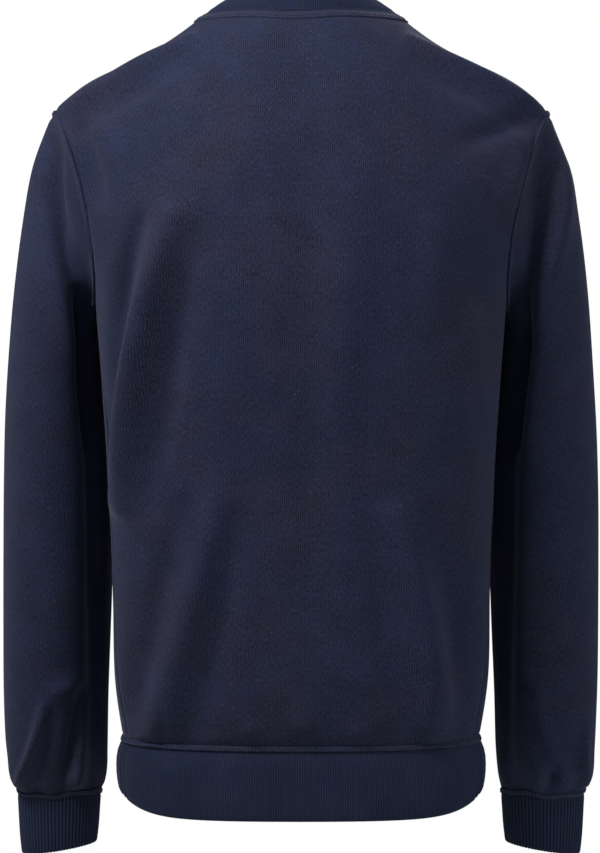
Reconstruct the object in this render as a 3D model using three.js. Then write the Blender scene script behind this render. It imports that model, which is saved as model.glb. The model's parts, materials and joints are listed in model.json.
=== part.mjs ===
// Crewneck sweatshirt in the shape that it has when worn, open at the neck, hem and cuffs.
// Millimetres, +Z up. The back of the garment faces +Y and its left sleeve is towards +X.
// The origin lies between the two neck points, where the shoulders carry the garment.
import * as THREE from 'three';

// Cloth: brushed jersey, and ribbing that is folded double, come to the same thickness.
const clothThickness = 2.5;
const seamGap = 0.3;

// Body
const shoulderTip = { x: 214.5, y: -4, z: -84 };
const underarm = { x: 176, y: 12, z: -258 };
const hemSeamZ = -621;
const squareness = 2.5;
const neckHalfWidth = 85;

// What differs between the back and the front: where the middle of the neck seam lies and how fully it
// rounds to there (below 1 is fuller), how far the armhole reaches from the side seam, and how far it is
// scooped into the body.
const sides = {
  back: { facing: 1, neckMiddleY: 62, neckMiddleZ: -6, neckFullness: 1, reach: 60, scoop: 12 },
  front: { facing: -1, neckMiddleY: -90, neckMiddleZ: -75, neckFullness: 0.6, reach: 60, scoop: 16 },
};

// Body rings from the hem seam to the underarm. seamAngle is where the side seam lies on the ring, measured
// from the middle of the back, and sideY is the depth at which the ring is widest.
const bodySections = [
  { z: -621, halfWidth: 152.5, sideY: 22, back: 112, front: 108, seamAngle: 71 },
  { z: -606, halfWidth: 155.5, sideY: 24, back: 118, front: 113, seamAngle: 72 },
  { z: -567, halfWidth: 160.5, sideY: 27, back: 123, front: 119, seamAngle: 74 },
  { z: -500, halfWidth: 161, sideY: 30, back: 125, front: 121, seamAngle: 78 },
  { z: -418, halfWidth: 163, sideY: 32, back: 127, front: 123, seamAngle: 82 },
  { z: -360, halfWidth: 166.5, sideY: 30, back: 130, front: 126, seamAngle: 85 },
  { z: -316, halfWidth: 170.5, sideY: 24, back: 133, front: 129, seamAngle: 87.5 },
  { z: -258, halfWidth: 176, sideY: 12, back: 135, front: 131, seamAngle: 90 },
];

// The shoulder seam's line from the neck point to the shoulder tip.
const shoulderLine = [
  { x: 85, z: 0 },
  { x: 100, z: -12.5 },
  { x: 125, z: -29.5 },
  { x: 144, z: -38.5 },
  { x: 164, z: -47 },
  { x: 182, z: -56 },
  { x: 197, z: -66.5 },
  { x: 214.5, z: -84 },
];

// Sleeve rings from the armhole to the cuff seam. Each is an oval through an outer (out) and an inner (in)
// point, with its own reach to the back and to the front. scoop draws its middle towards the body.
const sleeveSections = [
  { along: 0, outX: 214.5, outY: -4, outZ: -84, inX: 176, inY: 12, inZ: -258, back: 60, front: 60 },
  { along: 50, outX: 232, outY: -6, outZ: -130, inX: 178, inY: 8, inZ: -271, back: 65, front: 67 },
  { along: 100, outX: 241.5, outY: -9, outZ: -180, inX: 175, inY: 2, inZ: -288, back: 67, front: 71 },
  { along: 155, outX: 248.5, outY: -13, outZ: -235, inX: 171, inY: -6, inZ: -310, back: 66, front: 71 },
  { along: 210, outX: 253.5, outY: -17, outZ: -290, inX: 168, inY: -14, inZ: -339, back: 64, front: 69 },
  { along: 270, outX: 257.5, outY: -21, outZ: -350, inX: 166, inY: -20, inZ: -376, back: 61, front: 65 },
  { along: 330, outX: 259.5, outY: -26, outZ: -410, inX: 165, inY: -26, inZ: -421, back: 58, front: 61 },
  { along: 390, outX: 260.5, outY: -31, outZ: -470, inX: 165, inY: -31, inZ: -474, back: 55, front: 58 },
  { along: 450, outX: 261, outY: -36, outZ: -530, inX: 167, inY: -36, inZ: -530, back: 51, front: 54 },
  { along: 510, outX: 261, outY: -40, outZ: -590, inX: 169.5, inY: -40, inZ: -589, back: 46, front: 48 },
  { along: 560, outX: 259.5, outY: -43, outZ: -640, inX: 171, inY: -43, inZ: -638, back: 42, front: 43 },
  { along: 590, outX: 257, outY: -44, outZ: -664, inX: 173, inY: -44, inZ: -661, back: 38, front: 39 },
  { along: 604, outX: 250, outY: -45, outZ: -678, inX: 176.5, inY: -45, inZ: -676, back: 31, front: 31 },
];
const sleeveLength = 604;
const scoopEnds = 150;
const sleeveClearance = 4;
const creaseLimit = 0.35;

// Ribbing: rows of a band, from its seam to its free edge. The hem's rows change the ring of the hem seam and
// the cuff's rows scale the ring of the cuff seam.
const hemRows = [
  { drop: 0, wider: 0, deeper: 0 },
  { drop: 18, wider: 4.5, deeper: 3 },
  { drop: 42, wider: 5, deeper: 4 },
  { drop: 60, wider: 3, deeper: 3 },
];
const cuffRows = [
  { drop: 0, scale: 1 },
  { drop: 14, scale: 0.975 },
  { drop: 38, scale: 0.94 },
  { drop: 57, scale: 0.89 },
];
const neckbandHeight = 22;
const neckbandLean = { back: 20, side: 57, front: 30 };

// The largest soft folds. Each bends from one point towards a second and on to a third, at places across (x)
// and up (z), and stands out as a ridge or, with a negative height, sinks in as a trough.
const folds = [
  { on: 'back', x0: 109, z0: -187, x1: 134, z1: -290, x2: 148, z2: -417, width: 20, height: 5 },
  { on: 'back', x0: 73, z0: -424, x1: 96, z1: -515, x2: 122, z2: -605, width: 24, height: 6 },
  { on: 'back', x0: -77, z0: -433, x1: -102, z1: -498, x2: -114, z2: -605, width: 26, height: 5 },
  { on: 'back', x0: -176, z0: -118, x1: -160, z1: -128, x2: -140, z2: -125, width: 18, height: -4 },
  { on: 'back', x0: 185, z0: -112, x1: 176, z1: -140, x2: 172, z2: -170, width: 18, height: -4 },
  { on: 'front', x0: 128, z0: -210, x1: 138, z1: -300, x2: 146, z2: -420, width: 22, height: 5 },
  { on: 'front', x0: -120, z0: -200, x1: -136, z1: -310, x2: -146, z2: -430, width: 22, height: 5 },
  { on: 'front', x0: 60, z0: -440, x1: 92, z1: -520, x2: 112, z2: -605, width: 26, height: 5 },
  { on: 'front', x0: -70, z0: -430, x1: -88, z1: -520, x2: -120, z2: -600, width: 26, height: 5 },
  { on: 'sleeve_left', x0: 212, z0: -122, x1: 212, z1: -170, x2: 186, z2: -232, width: 17, height: -8 },
  { on: 'sleeve_left', x0: 196, z0: -232, x1: 184, z1: -280, x2: 178, z2: -330, width: 16, height: -7 },
  { on: 'sleeve_right', x0: -206, z0: -120, x1: -203, z1: -190, x2: -184, z2: -300, width: 18, height: -9 },
];
const foldSteps = 12;

// How finely the cloth is divided
const neckColumns = 5;
const shoulderColumns = 8;
const neckShare = 0.34;
const bodyRows = 10;
const armholeRows = 10;
const sleeveRings = 18;
const neckbandRows = 3;

const columns = neckColumns + shoulderColumns;
const radians = THREE.MathUtils.degToRad;
const mix = THREE.MathUtils.lerp;
const roundPower = 2 / squareness;

// Every column of a table at one value of its key column, on a smooth curve through the rows.
function sampleTable(rows, key, at) {
  const last = rows.length - 1;
  const found = rows.findIndex((row, index) => index < last && at <= rows[index + 1][key]);
  const i = found < 0 ? last - 1 : found;
  const [before, a, b, after] = [rows[Math.max(i - 1, 0)], rows[i], rows[i + 1], rows[Math.min(i + 2, last)]];
  const span = b[key] - a[key];
  const t = (at - a[key]) / span;
  const sampled = {};
  for (const name of Object.keys(a)) {
    const slopeA = (b[name] - before[name]) / (b[key] - before[key]);
    const slopeB = (after[name] - a[name]) / (after[key] - a[key]);
    const level = a[name] * (1 + 2 * t) * (1 - t) ** 2 + b[name] * t * t * (3 - 2 * t);
    sampled[name] = level + span * (slopeA * t * (1 - t) ** 2 - slopeB * t * t * (1 - t));
  }
  return sampled;
}

// How far the folds of a piece move the cloth out at a place.
function foldHeight(on, x, z) {
  let total = 0;
  for (const fold of folds.filter((each) => each.on === on)) {
    let nearest = Infinity;
    let share = 0;
    for (let k = 0; k <= foldSteps; k += 1) {
      const t = k / foldSteps;
      const lineX = mix(mix(fold.x0, fold.x1, t), mix(fold.x1, fold.x2, t), t);
      const lineZ = mix(mix(fold.z0, fold.z1, t), mix(fold.z1, fold.z2, t), t);
      const distance = Math.hypot(x - lineX, z - lineZ);
      if (distance < nearest) [nearest, share] = [distance, t];
    }
    const fade = Math.sqrt(Math.sin(Math.PI * mix(0.08, 0.92, share)));
    total += fold.height * fade * Math.exp(-((nearest / fold.width) ** 2));
  }
  return total;
}

// A body ring is a rounded oval: angle 0 is the middle of the back, 90 the widest place and 180 the middle of
// the front.
function bodyRingPoint(section, angle) {
  const towards = Math.cos(radians(angle));
  const depth = angle <= 90 ? section.back - section.sideY : section.front + section.sideY;
  return new THREE.Vector3(
    section.halfWidth * Math.sin(radians(angle)) ** roundPower,
    section.sideY + depth * Math.sign(towards) * Math.abs(towards) ** roundPower,
    section.z,
  );
}

// Share of a ring's angle at each column, counted from the middle of a panel to its side.
function columnShare(column) {
  if (column <= neckColumns) return neckShare * column / neckColumns;
  return mix(neckShare, 1, (column - neckColumns) / shoulderColumns);
}

// The top edge of a panel: half of the neck seam, then the shoulder seam.
function topEdgePoint(side, column) {
  if (column <= neckColumns) {
    const angle = radians(90 * column / neckColumns);
    return new THREE.Vector3(
      neckHalfWidth * Math.sin(angle),
      mix(shoulderTip.y, side.neckMiddleY, Math.cos(angle) ** side.neckFullness),
      side.neckMiddleZ * Math.cos(angle),
    );
  }
  const x = mix(neckHalfWidth, shoulderTip.x, (column - neckColumns) / shoulderColumns);
  return new THREE.Vector3(x, shoulderTip.y, sampleTable(shoulderLine, 'x', x).z);
}

// The armhole's edge, where turn is 180 at the underarm and 0 at the shoulder tip.
function armholePoint(side, turn) {
  const rise = (1 + Math.cos(radians(turn))) / 2;
  const bow = Math.sin(radians(turn));
  return new THREE.Vector3(
    mix(underarm.x, shoulderTip.x, rise) - side.scoop * bow * bow,
    mix(underarm.y, shoulderTip.y, rise) + side.facing * side.reach * bow,
    mix(underarm.z, shoulderTip.z, rise),
  );
}

// One row of half a panel above the underarm. The ring of the chest narrows to the armhole's edge and rounds
// over to the top edge as rise goes from 0 to 1.
function upperRow(side, turn) {
  const rise = (1 + Math.cos(radians(turn))) / 2;
  const edge = armholePoint(side, turn);
  const chest = bodySections[bodySections.length - 1];
  const middleY = side.facing > 0 ? chest.back : -chest.front;
  const roundOver = (share) => {
    const sharp = mix(2, 2.2, share);
    const soft = mix(1.3, 1.7, share);
    return (1 - rise ** sharp) ** (1 / soft);
  };
  const row = [];
  for (let column = 0; column <= columns; column += 1) {
    const top = topEdgePoint(side, column);
    if (rise > 0.9999) {
      row.push(top);
      continue;
    }
    const edgeY = shoulderTip.y + (edge.y - shoulderTip.y) / roundOver(1);
    const edgeShare = Math.max((edgeY - chest.sideY) / (middleY - chest.sideY), 0);
    const edgeAngle = Math.acos(edgeShare ** (1 / roundPower));
    const angle = edgeAngle * columnShare(column);
    const ringX = edge.x * (Math.sin(angle) / Math.sin(edgeAngle)) ** roundPower;
    const ringY = mix(chest.sideY, middleY, Math.cos(angle) ** roundPower);
    const settle = Math.min(column / neckColumns, 1);
    row.push(new THREE.Vector3(
      mix(ringX, top.x * edge.x / shoulderTip.x, rise ** 12),
      mix(top.y, ringY, roundOver(column === columns ? 1 : settle)),
      mix(underarm.z, top.z, rise),
    ));
  }
  return row;
}

// One row of half a panel from the hem seam to the underarm.
function lowerRow(side, z) {
  const section = sampleTable(bodySections, 'z', z);
  const row = [];
  for (let column = 0; column <= columns; column += 1) {
    const share = columnShare(column);
    const angle = side.facing > 0 ? share * section.seamAngle : 180 - share * (180 - section.seamAngle);
    row.push(bodyRingPoint(section, angle));
  }
  return row;
}

// The other half of a row is its mirror image.
function wholeRow(half) {
  const mirrored = half.slice(1).map((point) => new THREE.Vector3(-point.x, point.y, point.z));
  return [...mirrored.reverse(), ...half];
}

// Folds fade out at the seams, so that neighbouring pieces keep their common edge.
function panelRows(side) {
  const rows = [];
  for (let k = 0; k < bodyRows; k += 1) rows.push(lowerRow(side, mix(hemSeamZ, underarm.z, k / bodyRows)));
  for (let k = 0; k <= armholeRows; k += 1) rows.push(upperRow(side, 180 - 180 * k / armholeRows));
  const whole = rows.map(wholeRow);
  const on = side.facing > 0 ? 'back' : 'front';
  whole.forEach((row, r) => row.forEach((point, c) => {
    const across = Math.abs(c - columns) / columns;
    const atEnd = r === 0 || r === whole.length - 1;
    const height = atEnd ? 0 : foldHeight(on, point.x, point.z) * (1 - across ** 8);
    const outwards = new THREE.Vector3(point.x / 2, point.y, 0).normalize();
    point.addScaledVector(outwards, height);
  }));
  return whole;
}

function hemBandRows(side) {
  return hemRows.map(({ drop, wider, deeper }) => {
    const seam = sampleTable(bodySections, 'z', hemSeamZ);
    seam.halfWidth += wider;
    seam.back += deeper;
    seam.front += deeper;
    const row = [];
    for (let column = 0; column <= columns; column += 1) {
      const share = columnShare(column);
      const angle = side.facing > 0 ? share * seam.seamAngle : 180 - share * (180 - seam.seamAngle);
      row.push(bodyRingPoint(seam, angle).setZ(hemSeamZ - drop));
    }
    return wholeRow(row);
  });
}

// Width of the body at a depth and height, for the sleeve to lie just clear of it.
function bodyHalfWidth(y, z) {
  if (z > underarm.z || z < hemSeamZ) return 0;
  const section = sampleTable(bodySections, 'z', z);
  const depth = y > section.sideY ? section.back - section.sideY : section.front + section.sideY;
  const reach = Math.min(Math.abs(y - section.sideY) / depth, 1);
  return section.halfWidth * (1 - reach ** squareness) ** (1 / squareness);
}

// Points round the left sleeve: from the underarm up the back to the shoulder tip and down the front.
function sleeveRow(along) {
  const section = sampleTable(sleeveSections, 'along', along);
  const outer = new THREE.Vector3(section.outX, section.outY, section.outZ);
  const inner = new THREE.Vector3(section.inX, section.inY, section.inZ);
  const fade = Math.max(1 - along / scoopEnds, 0);
  const row = [];
  for (let k = 0; k < 2 * armholeRows; k += 1) {
    const turn = radians(180 - 180 * k / armholeRows);
    const bow = Math.sin(turn);
    const [reach, scoop] = bow >= 0 ? [section.back, sides.back.scoop] : [section.front, sides.front.scoop];
    const point = new THREE.Vector3().lerpVectors(inner, outer, (1 + Math.cos(turn)) / 2);
    point.x -= scoop * fade * bow * bow;
    point.y += reach * bow;
    const clearance = sleeveClearance * Math.min(along / scoopEnds, 1);
    point.x = Math.max(point.x, bodyHalfWidth(point.y, point.z) + clearance);
    row.push(point);
  }
  return row;
}

// Rings lie closer together towards the cuff. The right sleeve is the left one's mirror image with its own
// folds.
function sleeveRows(on, sense) {
  const rows = [];
  for (let k = 0; k <= sleeveRings; k += 1) {
    const row = sleeveRow(sleeveLength * (1 - (1 - k / sleeveRings) ** 1.3));
    const inside = k > 0 && k < sleeveRings;
    rows.push(row.map((point, index) => {
      const placed = new THREE.Vector3(point.x * sense, point.y, point.z);
      const facesBack = Math.max(Math.sin(Math.PI * index / armholeRows), 0);
      if (inside) placed.y += foldHeight(on, placed.x, placed.z) * facesBack;
      return placed;
    }));
  }
  return rows;
}

function cuffRowsFrom(seamRow) {
  const middle = new THREE.Vector3();
  for (const point of seamRow) middle.addScaledVector(point, 1 / seamRow.length);
  return cuffRows.map(({ drop, scale }) => seamRow.map((point) => {
    const moved = point.clone().sub(middle).multiplyScalar(scale).add(middle);
    return moved.setZ(point.z - drop);
  }));
}

// The neckband stands on the neck seam and leans in towards the neck.
function neckbandRing() {
  const ring = [];
  for (const [side, sense] of [[sides.back, 1], [sides.front, -1]]) {
    for (let k = 0; k < 2 * neckColumns; k += 1) {
      const column = neckColumns - k;
      const point = topEdgePoint(side, Math.abs(column));
      ring.push(point.setX(point.x * Math.sign(column) * sense));
    }
  }
  return ring;
}

function neckbandRowsFrom(ring) {
  return Array.from({ length: neckbandRows + 1 }, (unused, k) => ring.map((point) => {
    const inward = new THREE.Vector3(-point.x, -point.y - 14, 0).normalize();
    const end = point.y > 0 ? neckbandLean.back : neckbandLean.front;
    const lean = radians(mix(end, neckbandLean.side, Math.abs(inward.x) ** 2));
    const height = neckbandHeight * k / neckbandRows;
    const moved = point.clone().addScaledVector(inward, height * Math.sin(lean));
    return moved.setZ(point.z + height * Math.cos(lean));
  }));
}

// Each piece's outer surface as rows of points. A ring closes on itself, a panel has two side edges.
const leftSleeve = sleeveRows('sleeve_left', 1);
const rightSleeve = sleeveRows('sleeve_right', -1);
const leftCuff = cuffRowsFrom(leftSleeve[sleeveRings]);
const rightCuff = cuffRowsFrom(rightSleeve[sleeveRings]);
const pieces = [
  { name: 'back_panel', rows: panelRows(sides.back), closed: false, finish: 'jersey' },
  { name: 'front_panel', rows: panelRows(sides.front), closed: false, finish: 'jersey' },
  { name: 'sleeve_left', rows: leftSleeve, closed: true, finish: 'jersey' },
  { name: 'sleeve_right', rows: rightSleeve, closed: true, finish: 'jersey' },
  { name: 'neckband', rows: neckbandRowsFrom(neckbandRing()), closed: true, finish: 'rib' },
  { name: 'hem_band_back', rows: hemBandRows(sides.back), closed: false, finish: 'rib' },
  { name: 'hem_band_front', rows: hemBandRows(sides.front), closed: false, finish: 'rib' },
  { name: 'cuff_left', rows: leftCuff, closed: true, finish: 'rib' },
  { name: 'cuff_right', rows: rightCuff, closed: true, finish: 'rib' },
];

// Triangles of a grid of points, as index triples. Each quad is split along its shorter diagonal.
function gridTriangles(points, columnCount, closed) {
  const triangles = [];
  const rowCount = points.length / columnCount;
  const lastColumn = closed ? columnCount : columnCount - 1;
  for (let r = 0; r < rowCount - 1; r += 1) {
    for (let c = 0; c < lastColumn; c += 1) {
      const [a, b] = [r * columnCount + c, r * columnCount + (c + 1) % columnCount];
      const [d, e] = [b + columnCount, a + columnCount];
      if (points[a].distanceTo(points[d]) < points[b].distanceTo(points[e])) {
        triangles.push([a, b, d], [a, d, e]);
      } else {
        triangles.push([a, b, e], [b, d, e]);
      }
    }
  }
  return triangles;
}

// The outline of a grid, as loops of point indices with the cloth on their left.
function gridRims(rowCount, columnCount, closed) {
  const bottom = Array.from({ length: columnCount }, (unused, c) => c);
  const top = bottom.map((c) => (rowCount - 1) * columnCount + c).reverse();
  if (closed) return [bottom, top];
  const inner = Array.from({ length: rowCount - 2 }, (unused, r) => r + 1);
  const right = inner.map((r) => r * columnCount + columnCount - 1);
  const left = inner.map((r) => r * columnCount).reverse();
  return [[...bottom, ...right, ...top, ...left]];
}

// Normals point out of the garment. Neighbouring pieces share them along a seam, so that their edges are
// parallel, except in the deep crease of an underarm, where the cloth turns back on itself and each piece keeps
// its own.
function addSeamNormals(allPieces) {
  const keyOf = (point) => point.toArray().map((value) => Math.round(value * 100)).join();
  const shared = new Map();
  for (const piece of allPieces) {
    const columnCount = piece.rows[0].length;
    const points = piece.rows.flat();
    piece.points = points;
    piece.triangles = gridTriangles(points, columnCount, piece.closed);
    piece.rims = gridRims(piece.rows.length, columnCount, piece.closed);
    const normals = points.map(() => new THREE.Vector3());
    for (const [a, b, c] of piece.triangles) {
      const ab = points[b].clone().sub(points[a]);
      const face = ab.cross(points[c].clone().sub(points[a]));
      for (const corner of [a, b, c]) normals[corner].add(face);
    }
    piece.ownNormals = normals;
    normals.forEach((normal, index) => {
      normal.normalize().multiplyScalar(piece.outwards);
      const key = keyOf(points[index]);
      if (!shared.has(key)) shared.set(key, new THREE.Vector3());
      shared.get(key).add(normal);
    });
  }
  for (const piece of allPieces) {
    piece.normals = piece.points.map((point, index) => {
      const common = shared.get(keyOf(point)).clone().normalize();
      return common.dot(piece.ownNormals[index]) < creaseLimit ? piece.ownNormals[index] : common;
    });
  }
}

// Edges draw back from the seam by half the gap, along the cloth.
function setBack(piece) {
  const columnCount = piece.rows[0].length;
  const lastRow = piece.rows.length - 1;
  return piece.points.map((point, index) => {
    const [r, c] = [Math.floor(index / columnCount), index % columnCount];
    const moved = point.clone();
    const pull = (towards) => {
      const step = piece.points[towards].clone().sub(point).normalize();
      moved.addScaledVector(step, seamGap / 2);
    };
    if (r === 0) pull(index + columnCount);
    if (r === lastRow) pull(index - columnCount);
    if (!piece.closed && c === 0) pull(index + 1);
    if (!piece.closed && c === columnCount - 1) pull(index - 1);
    return moved;
  });
}

// Two pieces split the strip between the same seam points along the same diagonal, which starts at the lower
// order.
const seamOrder = (point) => point.z + 0.37 * point.y + 0.21 * point.x;

// A closed wall: the outer surface, the inner one behind it and a strip round each rim.
function wallGeometry(piece) {
  const outer = setBack(piece);
  const inner = outer.map((point, index) => point.clone().addScaledVector(piece.normals[index], -clothThickness));
  const count = outer.length;
  const triangles = [];
  for (const [a, b, c] of piece.triangles) triangles.push([a, b, c], [a + count, c + count, b + count]);
  for (const rim of piece.rims) {
    rim.forEach((a, k) => {
      const b = rim[(k + 1) % rim.length];
      if (seamOrder(piece.points[a]) < seamOrder(piece.points[b])) {
        triangles.push([b, a, a + count], [b, a + count, b + count]);
      } else {
        triangles.push([b, a, b + count], [a, a + count, b + count]);
      }
    });
  }
  if (piece.outwards < 0) triangles.forEach((triangle) => triangle.reverse());
  const geometry = new THREE.BufferGeometry();
  const positions = [...outer, ...inner].flatMap((point) => point.toArray());
  geometry.setAttribute('position', new THREE.Float32BufferAttribute(positions, 3));
  geometry.setIndex(triangles.flat());
  geometry.computeVertexNormals();
  return geometry;
}

const finishes = {
  jersey: () => new THREE.MeshStandardMaterial({ color: 0x262b4a, roughness: 0.9, metalness: 0 }),
  rib: () => new THREE.MeshStandardMaterial({ color: 0x20263f, roughness: 0.92, metalness: 0 }),
};

// 1 where a piece's triangles already face out of the garment, -1 where its rows run the other way round.
function outwardSense(piece) {
  const rows = piece.rows;
  const r = Math.floor(rows.length / 2);
  const c = Math.floor(rows[0].length / 2);
  const middle = new THREE.Box3().setFromPoints(rows.flat()).getCenter(new THREE.Vector3());
  if (!piece.closed) middle.y = 0;
  const along = rows[r][c + 1].clone().sub(rows[r][c]);
  const up = rows[r - 1] ? rows[r][c].clone().sub(rows[r - 1][c]) : rows[r + 1][c].clone().sub(rows[r][c]);
  return Math.sign(along.cross(up).dot(rows[r][c].clone().sub(middle)));
}

for (const piece of pieces) piece.outwards = outwardSense(piece);
addSeamNormals(pieces);

const sweatshirt = new THREE.Group();
for (const piece of pieces) {
  const mesh = new THREE.Mesh(wallGeometry(piece), finishes[piece.finish]());
  mesh.name = piece.name;
  sweatshirt.add(mesh);
}

export default sweatshirt;
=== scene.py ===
import json
import math
from collections import namedtuple

import bmesh
import bpy
import numpy as np
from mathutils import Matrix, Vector
from mathutils.bvhtree import BVHTree

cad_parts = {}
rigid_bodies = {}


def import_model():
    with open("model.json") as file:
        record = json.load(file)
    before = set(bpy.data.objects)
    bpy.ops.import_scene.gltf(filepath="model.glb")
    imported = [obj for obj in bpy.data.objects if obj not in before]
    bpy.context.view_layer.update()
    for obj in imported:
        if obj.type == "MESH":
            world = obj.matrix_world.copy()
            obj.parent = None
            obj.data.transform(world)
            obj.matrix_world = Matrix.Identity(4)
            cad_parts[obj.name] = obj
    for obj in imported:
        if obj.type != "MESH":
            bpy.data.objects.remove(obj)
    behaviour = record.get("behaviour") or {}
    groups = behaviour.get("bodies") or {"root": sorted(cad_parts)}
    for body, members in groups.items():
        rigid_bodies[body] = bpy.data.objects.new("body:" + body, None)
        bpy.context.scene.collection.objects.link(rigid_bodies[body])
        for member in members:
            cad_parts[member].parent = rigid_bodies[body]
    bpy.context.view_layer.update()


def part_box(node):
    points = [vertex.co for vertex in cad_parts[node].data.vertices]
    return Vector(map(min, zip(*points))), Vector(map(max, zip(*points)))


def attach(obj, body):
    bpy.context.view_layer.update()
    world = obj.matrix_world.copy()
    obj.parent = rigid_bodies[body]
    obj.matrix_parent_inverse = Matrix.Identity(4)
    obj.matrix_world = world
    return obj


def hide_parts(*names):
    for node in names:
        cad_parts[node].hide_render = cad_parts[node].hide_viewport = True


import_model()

bl_info = {
    "name": "Crewneck sweatshirt",
    "version": (1, 0, 0),
    "blender": (4, 5, 0),
    "location": "3D View > Sidebar > Sweatshirt",
    "description": "Builds a worn crewneck sweatshirt in brushed jersey with rib neckband, hem band and cuffs",
    "category": "Add Mesh",
}

MM = 0.001
X, Y, Z = range(3)
LOW, HIGH = range(2)


def cad_edge(node, end, axis):
    """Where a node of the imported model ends, in millimetres, to the half millimetre."""
    return round(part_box(node)[end][axis] / MM * 2) / 2


# The garment's shape, in millimetres: +Z up, back towards +Y, its left sleeve towards +X, and the origin between
# the two neck points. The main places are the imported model's, and the tables shape the cloth between them.
SHOULDER_TIP = (cad_edge("back_panel", HIGH, X), cad_edge("back_panel", LOW, Y), cad_edge("sleeve_left", HIGH, Z))
UNDERARM = (176.0, 12.0, -258.0)
CHEST_BACK = cad_edge("back_panel", HIGH, Y)
CHEST_FRONT = -cad_edge("front_panel", LOW, Y)
HEM_SEAM_Z = cad_edge("back_panel", LOW, Z)
HEM_DEPTH = HEM_SEAM_Z - cad_edge("hem_band_back", LOW, Z)
CUFF_SEAM_Z = cad_edge("sleeve_left", LOW, Z)
CUFF_DEPTH = CUFF_SEAM_Z - cad_edge("cuff_left", LOW, Z)
CUFF_OUTER_X, CUFF_INNER_X = cad_edge("cuff_left", HIGH, X), cad_edge("cuff_left", LOW, X)
SLEEVE_OUTER_X = cad_edge("sleeve_left", HIGH, X)
SQUARENESS = 2.5
ROUND_POWER = 2 / SQUARENESS
NECK_HALF_WIDTH = cad_edge("neckband", HIGH, X)
NECK_COLUMNS = 5
SHOULDER_COLUMNS = 8
COLUMNS = NECK_COLUMNS + SHOULDER_COLUMNS
NECK_SHARE = 0.34
SLEEVE_LENGTH = 604.0
SCOOP_ENDS = 150.0
FULLEST_EDGE = 0.9
SLEEVE_CLEARANCE = 1.0
NECKBAND_HEIGHT = 22.0

Side = namedtuple("Side", "name facing neck_y neck_z fullness reach scoop")
BACK = Side("back", 1, cad_edge("neckband", HIGH, Y), -6, 1.0, 60, 12)
FRONT = Side("front", -1, cad_edge("neckband", LOW, Y), -75, 0.6, 60, 16)

# Rings of the body from the hem seam to the underarm.
BODY_NAMES = "z half_width side_y back front seam_angle"
BODY_ROWS = [
    (HEM_SEAM_Z, 152.5, 22, 112, 108, 71),
    (-606, 155.5, 24, 118, 113, 72),
    (-567, 160.5, 27, 123, 119, 74),
    (-500, 161, 30, 125, 121, 78),
    (-418, 163, 32, 127, 123, 82),
    (-360, 166.5, 30, 130, 126, 85),
    (-316, 170.5, 24, 133, 129, 87.5),
    (UNDERARM[Z], UNDERARM[X], UNDERARM[Y], CHEST_BACK, CHEST_FRONT, 90),
]

# The shoulder seam from the neck point to the tip.
SHOULDER_NAMES = "x z"
SHOULDER_ROWS = [(NECK_HALF_WIDTH, 0), (100, -12.5), (125, -29.5), (144, -38.5), (164, -47), (182, -56), (197, -66.5),
                 (SHOULDER_TIP[X], SHOULDER_TIP[Z])]

# Rings of a sleeve from the armhole to the cuff seam: an outer and an inner point, and the reach to back and front.
# The upper inner points lie round the body's side, so that no light shows between sleeve and body.
SLEEVE_NAMES = "along outer_x outer_y outer_z inner_x inner_y inner_z back front"
SLEEVE_ROWS = [
    (0, *SHOULDER_TIP, *UNDERARM, 60, 60),
    (50, 232, -6, -130, 174.5, -10, -271, 65, 67),
    (100, 241.5, -9, -180, 172, -17, -288, 67, 71),
    (155, 248.5, -13, -235, 169, -20, -310, 66, 71),
    (210, 253.5, -17, -290, 166.5, -22, -339, 64, 69),
    (270, 257.5, -21, -350, 165, -24, -376, 61, 65),
    (330, 259.5, -26, -410, 165, -26, -421, 58, 61),
    (390, 260.5, -31, -470, 165, -31, -474, 55, 58),
    (450, SLEEVE_OUTER_X, -36, -530, 167, -36, -530, 51, 54),
    (510, SLEEVE_OUTER_X, -40, -590, 169.5, -40, -589, 46, 48),
    (560, 259.5, -43, -640, 171, -43, -638, 42, 43),
    (590, 257, -44, -664, 173, -44, -661, 38, 39),
    (SLEEVE_LENGTH, CUFF_OUTER_X, -45, CUFF_SEAM_Z, CUFF_INNER_X, -45, CUFF_SEAM_Z + 2, 31, 31),
]

# Bands, from the seam down to the folded edge.
HEM_NAMES = "drop wider deeper"
HEM_ROWS = [(0, 0, 0), (18, 4.5, 3), (42, 5, 4), (HEM_DEPTH, 3, 3)]
CUFF_NAMES = "drop scale"
CUFF_ROWS = [(0, 1), (14, 0.975), (38, 0.94), (CUFF_DEPTH, 0.89)]
NECKBAND_LEAN = {"back": 20, "side": 57, "front": 30}

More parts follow.
